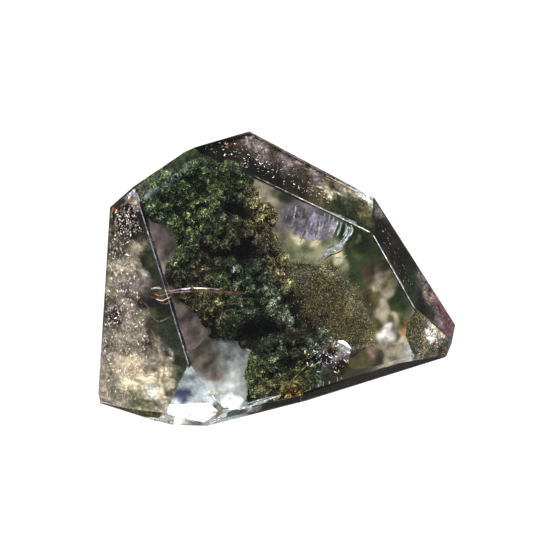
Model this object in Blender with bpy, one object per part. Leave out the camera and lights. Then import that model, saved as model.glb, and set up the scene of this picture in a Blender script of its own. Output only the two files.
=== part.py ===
"""A chlorite quartz crystal standing on its sawn base.

A stubby, clear quartz with polished and natural faces, and a lumpy mass of dark green chlorite
moss sealed inside it. The moss rises on the left, close behind the polished front, and a second
cloud of it hangs far back on the right. The viewer's side is at -Y, +Z is up, and one unit is one
metre.

The outline is cut the way a lapidary cuts it: a block is trimmed by one plane for each face, and
every plane is given by the way it looks (bearing and rise) and its distance from the stone's
heart. The clear stone is one crystal. It is parted level, only to seat the moss in its pocket.
"""
from math import cos, radians, sin

import bmesh
import bpy
from mathutils import Vector, noise

MM = 0.001

# The heart is the point that the faces are measured from, straight above the base.
HEART_HEIGHT = 12.5 * MM
BLOCK_SIZE = 90 * MM

# Each face: bearing in degrees from the viewer's side towards +X, rise in degrees above level,
# and distance from the heart in millimetres.
FACES = {
    "front": (29, 18, 5.55),
    "left": (-23.5, 4.5, 15.8),
    "shoulder": (45.5, 37, 9.95),
    "right": (59.5, 27, 12.1),
    "tip": (42.5, 14.5, 10.0),
    "corner": (-3, -1, 14.0),
    "foot_front": (26, -22, 12.8),
    "foot_right": (31, -22, 12.9),
    "foot_left": (-30.5, -22, 21.1),
    "left_back": (-105, 4.75, 17.75),
    "top_left_back": (-123, 44.5, 19.2),
    "crown": (-138, 37.5, 15.7),
    "back_top": (165, 38, 14.75),
    "right_back": (122, 28, 18.9),
    "under_right": (95, -32.5, 27.6),
    "back": (178, 3, 16.5),
    "back_left": (-148, 5, 19.0),
}

# The level where the clear stone is parted, and the gap that two solids keep.
PARTING_HEIGHT = 14 * MM
GAP = 0.3 * MM

# Each lump of the moss: centre in millimetres from the foot of the heart's plumb line, and radius.
# The lumps go by the place they have in the stone.
LUMPS = {
    "crest": [
        ((-14.6, -6.1, 27.7), 1.1),
        ((-13.4, -5.4, 28.2), 1.1),
        ((-12.2, -4.8, 28.9), 1.0),
        ((-10.9, -4.0, 29.4), 0.9),
        ((-9.8, -3.3, 29.8), 0.9),
        ((-8.7, -2.4, 29.8), 1.0),
        ((-7.3, -1.4, 28.9), 1.4),
    ],
    "head": [
        ((-12.3, -4.3, 26.6), 1.8),
        ((-10.6, -3.3, 27.4), 1.5),
        ((-8.6, -1.7, 26.9), 2.0),
        ((-5.8, 0.0, 26.1), 2.2),
        ((-10.3, -3.5, 23.5), 2.4),
        ((-7.0, -0.7, 23.0), 3.0),
        ((-3.4, 0.6, 23.6), 2.2),
        ((-1.5, 0.5, 21.7), 1.8),
    ],
    "trunk": [
        ((-10.2, -4.9, 20.8), 2.0),
        ((-7.5, -2.8, 19.3), 2.8),
        ((-3.9, 0.0, 18.8), 3.0),
        ((-0.8, 0.2, 19.2), 2.0),
        ((-9.1, -5.5, 16.9), 2.2),
        ((-6.0, -3.4, 14.8), 3.0),
        ((-2.3, -1.2, 14.5), 3.0),
        ((0.9, -0.6, 14.5), 2.0),
    ],
    "foot": [
        ((-7.1, -6.0, 13.2), 2.0),
        ((-4.3, -3.8, 10.7), 3.0),
        ((-0.2, -1.8, 9.9), 2.8),
        ((2.9, -1.4, 8.8), 2.0),
        ((-1.4, -4.2, 6.5), 2.8),
        ((2.5, -2.8, 5.7), 2.2),
        ((5.5, -1.8, 5.7), 1.6),
        ((-1.7, -6.9, 4.1), 1.8),
        ((1.1, -5.5, 3.6), 1.7),
        ((4.0, -3.8, 3.8), 1.4),
    ],
    "heart": [
        ((-5.8, 3.7, 16.6), 4.4),
        ((-3.8, 2.7, 9.5), 5.0),
        ((-3.8, 8.6, 11.5), 3.6),
    ],
    "right cloud": [
        ((3.2, 2.2, 11.4), 2.6),
        ((6.4, 4.0, 10.8), 2.4),
        ((5.9, 2.4, 7.5), 2.6),
        ((9.3, 4.0, 7.2), 2.2),
        ((10.3, 3.1, 4.6), 1.8),
    ],
    "far cloud": [
        ((3.2, 6.1, 8.4), 3.6),
        ((3.9, 9.9, 13.2), 2.2),
        ((6.9, 11.2, 12.9), 2.0),
        ((10.0, 12.0, 11.8), 1.8),
        ((12.8, 12.3, 8.7), 1.8),
        ((7.7, 10.2, 8.5), 3.2),
        ((12.0, 11.0, 5.7), 2.6),
        ((14.9, 11.8, 4.9), 1.6),
        ((7.2, 7.3, 5.1), 2.8),
    ],
}
LARGE_LUMP = 2.1
LARGE_LUMP_SUBDIVISIONS = 2
SMALL_LUMP_SUBDIVISIONS = 1
LUMP_ROUGHNESS = 0.16
LUMP_PITCH = 1.7
LUMP_NOISE_STEP = 7.3
POCKET_SWELL = 0.4 * MM

QUARTZ_COLOUR = (0.72, 0.72, 0.66, 0.35)
QUARTZ_ROUGHNESS = 0.06
MOSS_COLOUR = (0.045, 0.065, 0.035, 1.0)
MOSS_ROUGHNESS = 0.85


def material(name, colour, roughness, metallic=0.0):
    """A plain Principled material with one colour and roughness."""
    made = bpy.data.materials.new(name)
    made.use_nodes = True
    shader = made.node_tree.nodes["Principled BSDF"]
    shader.inputs["Base Color"].default_value = colour
    shader.inputs["Alpha"].default_value = colour[3]
    shader.inputs["Roughness"].default_value = roughness
    shader.inputs["Metallic"].default_value = metallic
    return made


def new_object(name, bm, surface=None):
    """Turn a bmesh into a named object in the scene."""
    bmesh.ops.recalc_face_normals(bm, faces=bm.faces)
    mesh = bpy.data.meshes.new(name)
    bm.to_mesh(mesh)
    bm.free()
    made = bpy.data.objects.new(name, mesh)
    bpy.context.collection.objects.link(made)
    if surface:
        mesh.materials.append(surface)
    return made


def outward(bearing, rise):
    """The unit normal of a face that looks along a bearing and a rise."""
    bearing = radians(bearing)
    rise = radians(rise)
    return Vector((sin(bearing) * cos(rise), -cos(bearing) * cos(rise), sin(rise)))


def trim(bm, point, normal):
    """Saw off all that lies beyond a plane, and close the cut with one flat face."""
    everything = bm.verts[:] + bm.edges[:] + bm.faces[:]
    cut = bmesh.ops.bisect_plane(
        bm, geom=everything, plane_co=point, plane_no=normal, clear_outer=True)
    rim = [item for item in cut["geom_cut"] if isinstance(item, bmesh.types.BMEdge)]
    if rim:
        bmesh.ops.edgenet_fill(bm, edges=rim)


def crystal_block():
    """The whole stone's outline: a block trimmed by its base and by every face."""
    bm = bmesh.new()
    bmesh.ops.create_cube(bm, size=BLOCK_SIZE)
    trim(bm, Vector((0, 0, 0)), Vector((0, 0, -1)))
    heart = Vector((0, 0, HEART_HEIGHT))
    for bearing, rise, distance in FACES.values():
        normal = outward(bearing, rise)
        trim(bm, heart + normal * distance * MM, normal)
    return bm


def middle_of(bm):
    """The middle of a shape's plan, at the height of its base."""
    xs = [vert.co.x for vert in bm.verts]
    ys = [vert.co.y for vert in bm.verts]
    return Vector(((min(xs) + max(xs)) / 2, (min(ys) + max(ys)) / 2, 0))


def add_lump(bm, centre, radius, swell):
    """Add one cauliflower lump of the moss to a shape, pushed outward by swell."""
    centre = Vector(centre) * MM
    steps = LARGE_LUMP_SUBDIVISIONS if radius > LARGE_LUMP else SMALL_LUMP_SUBDIVISIONS
    ball = bmesh.ops.create_icosphere(bm, subdivisions=steps, radius=1.0)
    for vert in ball["verts"]:
        away = vert.co.normalized()
        knob = noise.noise(away * LUMP_PITCH + centre / MM * LUMP_NOISE_STEP)
        vert.co = centre + away * (radius * MM * (1 + LUMP_ROUGHNESS * knob) + swell)


def lumps_object(name, lumps, swell, shift):
    """An object that holds some of the lumps, each still a ball of its own."""
    bm = bmesh.new()
    for centre, radius in lumps:
        add_lump(bm, centre, radius, swell)
    bmesh.ops.translate(bm, verts=bm.verts, vec=shift)
    return new_object(name, bm)


def boolean(body, tool, operation):
    """Join or cut a body with a tool, which stays as a hidden guide."""
    step = body.modifiers.new(tool.name, "BOOLEAN")
    step.operation = operation
    step.object = tool
    tool.hide_render = True
    tool.display_type = "WIRE"
    return step


def moss_shape(name, swell, shift):
    """All lumps of the moss joined in one solid."""
    lumps = [each for group in LUMPS.values() for each in group]
    first = lumps_object(name, lumps[:1], swell, shift)
    others = lumps_object(name + "_lumps", lumps[1:], swell, shift)
    join = boolean(first, others, "UNION")
    join.use_self = True
    return first


def quartz_half(name, normal, shift, pocket, surface):
    """One half of the clear stone, parted level and hollowed by the moss's pocket."""
    bm = crystal_block()
    trim(bm, Vector((0, 0, PARTING_HEIGHT)) - normal * GAP / 2, normal)
    bmesh.ops.translate(bm, verts=bm.verts, vec=shift)
    half = new_object(name, bm, surface)
    boolean(half, pocket, "DIFFERENCE")
    return half


def build():
    for old in list(bpy.data.objects):
        bpy.data.objects.remove(old, do_unlink=True)

    quartz = material("quartz", QUARTZ_COLOUR, QUARTZ_ROUGHNESS)
    chlorite = material("chlorite", MOSS_COLOUR, MOSS_ROUGHNESS)

    whole = crystal_block()
    shift = -middle_of(whole)
    whole.free()

    moss = moss_shape("chlorite_moss", 0.0, shift)
    moss.data.materials.append(chlorite)
    pocket = moss_shape("pocket", POCKET_SWELL, shift)
    up = Vector((0, 0, 1))
    quartz_half("quartz_lower", up, shift, pocket, quartz)
    quartz_half("quartz_upper", -up, shift, pocket, quartz)


build()
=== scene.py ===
# %% [markdown]
# # A chlorite quartz crystal
#
# The real thing is a stubby quartz crystal, about 48 mm long. Some of its faces are polished like a
# window and some are left as they grew. Chlorite, a green mineral, grew inside it as moss, dust and
# clouds. This file builds it in the order of a workshop: the frame, the camera, the clear stone, the
# moss, the small inclusions, the lights.

# %% The frame
import random
from math import cos, pi, radians, sin, sqrt

import bpy
import numpy as np
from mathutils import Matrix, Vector, noise
from mathutils.kdtree import KDTree


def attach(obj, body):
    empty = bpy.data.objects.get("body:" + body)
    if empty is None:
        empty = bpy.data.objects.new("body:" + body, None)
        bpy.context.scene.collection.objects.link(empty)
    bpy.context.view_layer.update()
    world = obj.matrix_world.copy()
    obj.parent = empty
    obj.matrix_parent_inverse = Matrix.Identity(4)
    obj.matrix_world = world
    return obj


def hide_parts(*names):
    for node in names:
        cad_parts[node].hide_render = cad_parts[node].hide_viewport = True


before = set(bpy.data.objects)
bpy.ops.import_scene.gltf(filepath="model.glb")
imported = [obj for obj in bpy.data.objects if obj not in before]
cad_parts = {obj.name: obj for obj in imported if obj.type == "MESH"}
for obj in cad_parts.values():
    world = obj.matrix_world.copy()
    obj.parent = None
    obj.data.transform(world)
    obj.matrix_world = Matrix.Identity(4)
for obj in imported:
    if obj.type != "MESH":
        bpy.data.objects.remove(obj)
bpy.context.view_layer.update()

MM = 0.001

# %% [markdown]
# ## The camera
#
# The stone stands on its sawn base and the photographer looked down on it by 26 degrees. The lens is
# given by what it takes in: a view 67 mm wide at the stone, from 200 mm away.

# %% The camera
PHOTO_SIZE = 533
ELEVATION = radians(26)
CAMERA_DISTANCE = 200 * MM
VIEW_WIDTH = 67.07 * MM
CAMERA_TARGET = Vector((-2.2, -8.0, 18.9)) * MM
SENSOR = 36.0

towards_camera = Vector((0, -cos(ELEVATION), sin(ELEVATION)))
camera_up = Vector((0, sin(ELEVATION), cos(ELEVATION)))
camera_place = CAMERA_TARGET + towards_camera * CAMERA_DISTANCE
bpy.ops.object.camera_add(location=camera_place, rotation=(radians(90) - ELEVATION, 0, 0))
camera = bpy.context.object
camera.data.sensor_width = SENSOR
camera.data.lens = SENSOR * CAMERA_DISTANCE / VIEW_WIDTH
camera.data.clip_start = 0.01
camera.data.clip_end = 10
bpy.context.scene.camera = camera
print("lens in mm:", round(camera.data.lens, 1))

# %% [markdown]
# ## Small helpers
#
# Blender's operators act on what is selected, so each step first selects one thing and nothing else.
# A finished piece says which body it rides on, what it is made of and which solids it stands for.

# %% Helpers for selecting and finishing
def only(obj):
    """Select one object, and nothing else."""
    bpy.ops.object.select_all(action="DESELECT")
    obj.select_set(True)
    bpy.context.view_layer.objects.active = obj


def named(name):
    """Give the newest object its name."""
    obj = bpy.context.object
    obj.name = name
    obj.data.name = name
    return obj


def added(name, operator, **settings):
    """Add one thing by an operator while nothing is selected, and name it."""
    bpy.ops.object.select_all(action="DESELECT")
    operator(**settings)
    return named(name)


def apply_modifiers(obj):
    """Turn every modifier into plain mesh, with no empty material slots left by it."""
    only(obj)
    for step in list(obj.modifiers):
        bpy.ops.object.modifier_apply(modifier=step.name)
    obj.data.materials.clear()


def face_outwards():
    """Turn all faces of the active mesh to the outside."""
    bpy.ops.object.mode_set(mode="EDIT")
    bpy.ops.mesh.select_all(action="SELECT")
    bpy.ops.mesh.normals_make_consistent(inside=False)
    bpy.ops.object.mode_set(mode="OBJECT")


def settle(obj):
    """Put the object's origin at the frame's origin, so that its place is in its mesh."""
    only(obj)
    bpy.ops.object.transform_apply(location=True, rotation=True, scale=True)


def finish_piece(obj, slot, *nodes):
    """Say what a piece rides on and what it stands for; slot, what it is made of, is not used."""
    settle(obj)
    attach(obj, "root")
    if nodes:
        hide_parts(*nodes)
    triangles = sum(len(polygon.vertices) - 2 for polygon in obj.data.polygons)
    print(obj.name, "has", triangles, "triangles")


# %% [markdown]
# ## The clear stone
#
# The CAD model holds the stone in two halves, because the moss sits in a pocket between them. The
# real stone is one crystal. So the flat faces are read back from the halves, and one block is cut
# down by them, as a lapidary would.

# %% Read the faces from the frame
HALVES = ("quartz_lower", "quartz_upper")
SMALLEST_TRIANGLE = 0.02 * MM * MM
SAME_PLANE = 0.9999
PLANE_TOLERANCE = 0.01 * MM


def stone_planes():
    """Each flat face of the whole stone: its outward normal and its distance from the origin."""
    corners = np.array([v.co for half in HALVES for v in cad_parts[half].data.vertices])
    triangles = [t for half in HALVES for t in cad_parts[half].data.polygons]
    triangles = [t for t in triangles if t.area > SMALLEST_TRIANGLE]
    planes = []
    for triangle in sorted(triangles, key=lambda t: -t.area):
        normal = triangle.normal.copy()
        distance = normal.dot(triangle.center)
        outermost = (corners @ np.array(normal)).max() < distance + PLANE_TOLERANCE
        if outermost and all(normal.dot(other) < SAME_PLANE for other, _ in planes):
            planes.append((normal, distance))
    return planes


planes = stone_planes()
print("flat faces found:", len(planes))

# %% [markdown]
# ## Each face by name
#
# A crystal's faces are told apart by where they look. With each goes its finish: how rough it grew,
# and how frosted it is. The polished faces and the bevels at the foot have neither.

# %% Name the faces
# bearing, rise, how rough it grew, how frosted it is
FACES = {
    "front": (29, 18, 0, 0),
    "left": (-23.5, 4.5, 1.0, 0.35),
    "shoulder": (45.5, 37, 0.55, 0.05),
    "right": (59.5, 27, 0.35, 0.05),
    "tip": (42.5, 14.5, 0, 0),
    "corner": (-3, -1, 0, 0),
    "foot_front": (26, -22, 0, 0),
    "foot_right": (31, -22, 0, 0),
    "foot_left": (-30.5, -22, 0, 0),
    "back": (178, 3, 0.5, 0.3),
    "back_left": (-148, 5, 0.7, 0.3),
    "back_top": (165, 38, 0.5, 0.2),
    "crown": (-138, 37.5, 0.7, 0.2),
    "left_back": (-105, 4.75, 0.8, 0.3),
    "right_back": (122, 28, 0.5, 0.2),
    "base": (0, -90, 0.2, 0.5),
}


def outward(bearing, rise):
    """The direction of a bearing from the viewer's side towards +X, and a rise above level."""
    bearing = radians(bearing)
    rise = radians(rise)
    return Vector((sin(bearing) * cos(rise), -cos(bearing) * cos(rise), sin(rise)))


def plane_towards(way):
    """The stone's face that looks most nearly that way."""
    return max(planes, key=lambda plane: plane[0].dot(way))


faces = {name: plane_towards(outward(*values[:2])) for name, values in FACES.items()}
print("faces named:", len(faces))

# %% [markdown]
# ## Cutting the block
#
# Bisect with a filled cut does what the saw does. Every edge then gets a tiny bevel, which catches
# the light as the thin bright line that polished edges have.

# %% Cut the block
BLOCK_SIZE = 100 * MM
EDGE_BEVEL = 0.035 * MM

quartz = added("quartz_crystal", bpy.ops.mesh.primitive_cube_add, size=BLOCK_SIZE, location=(0, 0, 0))
bpy.ops.object.mode_set(mode="EDIT")
for normal, distance in planes:
    bpy.ops.mesh.select_all(action="SELECT")
    bpy.ops.mesh.bisect(
        plane_co=normal * distance, plane_no=normal, use_fill=True, clear_outer=True)
bpy.ops.mesh.select_all(action="SELECT")
bpy.ops.mesh.bevel(offset=EDGE_BEVEL, segments=2, profile=0.5, affect="EDGES")
bpy.ops.object.mode_set(mode="OBJECT")
face_outwards()
print("the cut stone has", len(quartz.data.polygons), "faces")

# %% Mark each face's finish
FLAT_ENOUGH = 0.9995


def finish_of(polygon):
    """How rough and how frosted the named face is that a polygon lies in."""
    for name, (normal, _) in faces.items():
        if normal.dot(polygon.normal) > FLAT_ENOUGH:
            return FACES[name][2:]
    return (0, 0)


finish = quartz.data.color_attributes.new("finish", "FLOAT_COLOR", "CORNER")
for polygon in quartz.data.polygons:
    for corner in polygon.loop_indices:
        finish.data[corner].color = (*finish_of(polygon), 0, 1)
print("faces left rough:", sum(finish_of(polygon)[0] > 0 for polygon in quartz.data.polygons))

# %% [markdown]
# ## Materials
#
# Quartz bends light with an index of 1.544. The one material covers the whole stone, because a
# clear solid needs the same surface where light enters and where it leaves; the finish painted on
# the faces says where it is polished and where it is left as grown. Lamps reach what is inside by a
# Light Path switch, since a path tracer hardly ever finds a small lamp through a bent surface.

# %% Node helpers
def new_material(name):
    """A material with only a Principled shader and an output."""
    made = bpy.data.materials.new(name)
    made.use_nodes = True
    tree = made.node_tree
    return made, tree, tree.nodes["Principled BSDF"], tree.nodes["Material Output"]


def node(tree, kind, **settings):
    """Add a node. Settings that name an input set it, and the others are the node's own."""
    made = tree.nodes.new(kind)
    for key, value in settings.items():
        if hasattr(made, key):
            setattr(made, key, value)
        else:
            made.inputs[key.replace("_", " ")].default_value = value
    return made


def calculate(tree, operation, first, second):
    """A Math node on two sockets or numbers."""
    made = node(tree, "ShaderNodeMath", operation=operation)
    for socket, value in zip(made.inputs, (first, second)):
        if isinstance(value, (int, float)):
            socket.default_value = value
        else:
            tree.links.new(value, socket)
    return made.outputs[0]


def mapped_noise(tree, scale, detail, roughness=0.55, stretch=(1, 1, 1)):
    """Noise on Object coordinates, with its scale in features per metre."""
    place = tree.nodes.new("ShaderNodeTexCoord")
    mapping = node(tree, "ShaderNodeMapping", Scale=stretch)
    tree.links.new(place.outputs["Object"], mapping.inputs["Vector"])
    made = node(tree, "ShaderNodeTexNoise", Scale=scale, Detail=detail, Roughness=roughness)
    tree.links.new(mapping.outputs["Vector"], made.inputs["Vector"])
    return made.outputs["Fac"]


def bumped(tree, shader, height, distance):
    """Let a height roughen a shader's surface."""
    bump = node(tree, "ShaderNodeBump", Strength=1.0, Distance=distance)
    tree.links.new(height, bump.inputs["Height"])
    tree.links.new(bump.outputs["Normal"], shader.inputs["Normal"])


def switched(tree, output, ray, usual, special):
    """One shader for most rays, and another for one kind of ray."""
    path = tree.nodes.new("ShaderNodeLightPath")
    choose = tree.nodes.new("ShaderNodeMixShader")
    tree.links.new(path.outputs[ray], choose.inputs["Fac"])
    tree.links.new(usual.outputs[0], choose.inputs[1])
    tree.links.new(special.outputs[0], choose.inputs[2])
    tree.links.new(choose.outputs[0], output.inputs["Surface"])


# %% The quartz material
QUARTZ_IOR = 1.544
ABSORPTION_COLOUR = (0.70, 0.69, 0.62, 1)
ABSORPTION_DENSITY = 45.0
GROWTH_RELIEF = 0.35 * MM
POLISHED_ROUGHNESS = 0.01


def quartz_material():
    """Clear quartz that is rough and frosted where the painted finish says so."""
    made, tree, shader, output = new_material("quartz")
    link = tree.links.new
    shader.inputs["Base Color"].default_value = (1, 1, 1, 1)
    shader.inputs["Transmission Weight"].default_value = 1.0
    shader.inputs["IOR"].default_value = QUARTZ_IOR
    painted = node(tree, "ShaderNodeVertexColor", layer_name="finish")
    split = tree.nodes.new("ShaderNodeSeparateColor")
    link(painted.outputs["Color"], split.inputs["Color"])
    frosted = calculate(tree, "MULTIPLY", split.outputs["Green"], mapped_noise(tree, 350, 3))
    link(calculate(tree, "ADD", frosted, POLISHED_ROUGHNESS), shader.inputs["Roughness"])
    steps = mapped_noise(tree, 700, 6, 0.6, (1, 1, 0.6))
    bumped(tree, shader, calculate(tree, "MULTIPLY", steps, split.outputs["Red"]), GROWTH_RELIEF)
    lamps = tree.nodes.new("ShaderNodeBsdfTransparent")
    switched(tree, output, "Is Shadow Ray", shader, lamps)
    inside = node(
        tree, "ShaderNodeVolumeAbsorption", Color=ABSORPTION_COLOUR, Density=ABSORPTION_DENSITY)
    link(inside.outputs["Volume"], output.inputs["Volume"])
    return made


quartz.data.materials.append(quartz_material())
finish_piece(quartz, "quartz", *HALVES)

# %% [markdown]
# ## Mineral grain
#
# Moss, dust and films are all made of tiny flakes. Their grain is one node group: each small cell
# gets a brightness of its own, most of them dark and a few bright, and wide patches fade in and out.
# A second group breaks a film up, so that it ends in ragged wisps and not in a cut line.

# %% The two shader groups
def shader_group(name, inputs, outputs):
    """A node group with named inputs and outputs, its two ends, and its place in the object."""
    group = bpy.data.node_groups.new(name, "ShaderNodeTree")
    for title, kind, value in inputs:
        made = group.interface.new_socket(title, in_out="INPUT", socket_type="NodeSocket" + kind)
        made.default_value = value
    for title, kind in outputs:
        group.interface.new_socket(title, in_out="OUTPUT", socket_type="NodeSocket" + kind)
    entry = group.nodes.new("NodeGroupInput")
    leave = group.nodes.new("NodeGroupOutput")
    place = group.nodes.new("ShaderNodeTexCoord")
    return group, entry.outputs, leave.inputs, place.outputs["Object"]


def mineral_grain():
    """A tint that is darker or lighter in each small cell, and in wide patches."""
    group, entry, leave, place = shader_group(
        "mineral_grain",
        [("Tint", "Color", (1, 1, 1, 1)), ("Cells", "Float", 6000), ("Darkest", "Float", 0.3),
         ("Lightest", "Float", 2.0)],
        [("Color", "Color"), ("Height", "Float")])
    link = group.links.new
    cells = node(group, "ShaderNodeTexVoronoi")
    link(place, cells.inputs["Vector"])
    link(entry["Cells"], cells.inputs["Scale"])
    split = group.nodes.new("ShaderNodeSeparateColor")
    link(cells.outputs["Color"], split.inputs["Color"])
    rare = calculate(group, "POWER", split.outputs["Red"], 3.0)
    spread = calculate(group, "SUBTRACT", entry["Lightest"], entry["Darkest"])
    own = calculate(group, "ADD", calculate(group, "MULTIPLY", rare, spread), entry["Darkest"])
    patches = node(group, "ShaderNodeTexNoise", Detail=5.0, Roughness=0.6)
    link(place, patches.inputs["Vector"])
    link(calculate(group, "MULTIPLY", entry["Cells"], 0.2), patches.inputs["Scale"])
    level = node(group, "ShaderNodeMapRange", From_Min=0.33, From_Max=0.68, To_Min=0.35, To_Max=1.6)
    link(patches.outputs["Fac"], level.inputs["Value"])
    shade = node(group, "ShaderNodeVectorMath", operation="SCALE")
    link(entry["Tint"], shade.inputs[0])
    link(calculate(group, "MULTIPLY", own, level.outputs[0]), shade.inputs["Scale"])
    link(shade.outputs[0], leave["Color"])
    link(patches.outputs["Fac"], leave["Height"])
    return group


def ragged_cover():
    """A mask that turns how closely a film covers into ragged wisps."""
    group, entry, leave, place = shader_group(
        "ragged_cover",
        [("Cover", "Float", 1.0), ("Scale", "Float", 800), ("Softness", "Float", 0.3),
         ("Stretch", "Vector", (1, 1, 1)), ("Turn", "Vector", (0, 0, 0))],
        [("Mask", "Float")])
    link = group.links.new
    mapping = group.nodes.new("ShaderNodeMapping")
    link(place, mapping.inputs["Vector"])
    link(entry["Turn"], mapping.inputs["Rotation"])
    link(entry["Stretch"], mapping.inputs["Scale"])
    wisps = node(group, "ShaderNodeTexNoise", Detail=6.0, Roughness=0.65)
    link(mapping.outputs[0], wisps.inputs["Vector"])
    link(entry["Scale"], wisps.inputs["Scale"])
    even = node(group, "ShaderNodeMapRange", From_Min=0.28, From_Max=0.72)
    link(wisps.outputs["Fac"], even.inputs["Value"])
    twice = calculate(group, "MULTIPLY", entry["Cover"], 2.0)
    raised = calculate(group, "ADD", calculate(group, "SUBTRACT", twice, 1.0), even.outputs[0])
    level = calculate(group, "SUBTRACT", raised, 0.5)
    mask = calculate(group, "ADD", calculate(group, "DIVIDE", level, entry["Softness"]), 0.5)
    held = node(group, "ShaderNodeClamp")
    link(mask, held.inputs["Value"])
    link(held.outputs[0], leave["Mask"])
    return group


GRAIN = mineral_grain()
COVER = ragged_cover()
print("node groups:", GRAIN.name, COVER.name)

# %% The finish of what grew inside
WISPS = (900, 0.5)
SOFT = (500, 0.9)


def dress(obj, slot, grain, relief=0.0, cover=None, glow=0.0, roughness=0.9, nodes=()):
    """Give a painted piece its grain, and finish it. grain is (cells per metre, darkest, lightest),
    relief is in mm, and cover gives a film's wisps: (scale, softness, stretch, turn)."""
    made, tree, shader, _ = new_material(obj.name)
    link = tree.links.new
    tint = node(tree, "ShaderNodeVertexColor", layer_name="tint")
    flakes = node(tree, "ShaderNodeGroup", node_tree=GRAIN)
    for key, value in zip(("Cells", "Darkest", "Lightest"), grain):
        flakes.inputs[key].default_value = value
    link(tint.outputs["Color"], flakes.inputs["Tint"])
    link(flakes.outputs["Color"], shader.inputs["Base Color"])
    shader.inputs["Roughness"].default_value = roughness
    shader.inputs["Specular IOR Level"].default_value = 0.1
    if glow:
        link(flakes.outputs["Color"], shader.inputs["Emission Color"])
        shader.inputs["Emission Strength"].default_value = glow
    if relief:
        bumped(tree, shader, flakes.outputs["Height"], relief * MM)
    if cover:
        mask = node(tree, "ShaderNodeGroup", node_tree=COVER)
        for key, value in zip(("Scale", "Softness", "Stretch", "Turn"), cover):
            mask.inputs[key].default_value = value
        link(tint.outputs["Alpha"], mask.inputs["Cover"])
        link(mask.outputs["Mask"], shader.inputs["Alpha"])
    obj.data.materials.append(made)
    finish_piece(obj, slot, *nodes)


# %% [markdown]
# ## Where things sit inside
#
# Light bends as it enters the stone, so a speck isn't where it seems to be. Moving each by eye would
# take long. Instead the ray of a photo pixel is followed from the camera to a face, bent by Snell's
# law, and walked on inside, and whatever is placed so shows up where the photo has it.

# %% Follow a bent ray into the stone
PIXEL = VIEW_WIDTH / PHOTO_SIZE
SHALLOWEST = 0.05
BRING_FORWARD = 0.85
TUCKING_ROUNDS = 20
LEAST_ROOM = 0.03 * MM


def bent_ray(face, x, y):
    """Where the ray of photo pixel (x, y) enters a face, and its direction inside the stone."""
    normal, distance = faces[face]
    across = (x - PHOTO_SIZE / 2) * PIXEL
    above = (PHOTO_SIZE / 2 - y) * PIXEL
    aim = CAMERA_TARGET + Vector((1, 0, 0)) * across + camera_up * above
    ray = (aim - camera_place).normalized()
    reach = (distance - normal.dot(camera_place)) / normal.dot(ray)
    facing = -ray.dot(normal)
    bend = 1 / QUARTZ_IOR
    inner = ray * bend + normal * (bend * facing - sqrt(1 - bend ** 2 * (1 - facing ** 2)))
    return camera_place + ray * reach, inner


def seen_through(face, x, y, depth):
    """The point that a photo pixel shows at a depth behind a face, in millimetres along the ray."""
    entry, inner = bent_ray(face, x, y)
    return entry + inner * depth * MM


def room_inside(point):
    """How far a point is inside the stone, in metres."""
    return min(distance - normal.dot(point) for normal, distance in planes)


def held_inside(face, x, y, depth, room):
    """As seen_through, but brought forward until it has room to every face; None if it can't."""
    while depth > SHALLOWEST:
        place = seen_through(face, x, y, depth)
        if room_inside(place) >= room:
            return place
        depth *= BRING_FORWARD
    return None


def tucked(place, room):
    """Push a point in until it has room, in metres, to every face."""
    for _ in range(TUCKING_ROUNDS):
        for normal, distance in planes:
            short = room - (distance - normal.dot(place))
            if short > 0:
                place = place - normal * short
    return place


def in_outline(outline, x, y):
    """Whether a point lies in a closed outline."""
    inside = False
    for (x0, y0), (x1, y1) in zip(outline[-1:] + outline[:-1], outline):
        if (y0 > y) != (y1 > y) and x < (x1 - x0) * (y - y0) / (y1 - y0) + x0:
            inside = not inside
    return inside


def random_in(outline, count, rng):
    """Random points in an outline."""
    xs, ys = zip(*outline)
    found = []
    while len(found) < count:
        x = rng.uniform(min(xs), max(xs))
        y = rng.uniform(min(ys), max(ys))
        if in_outline(outline, x, y):
            found.append((x, y))
    return found


middle_of_front, _ = bent_ray("front", PHOTO_SIZE / 2, PHOTO_SIZE / 2)
print("the front face is", round((middle_of_front - camera_place).length / MM), "mm from the camera")

# %% [markdown]
# ## Colours of the inclusions
#
# A painter would keep a small palette. Each zone is a place in the photo and how many pixels it
# reaches, listed under its colour, and the zones blend into each other. The fourth value of a colour
# is how closely a film covers there.

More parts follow.
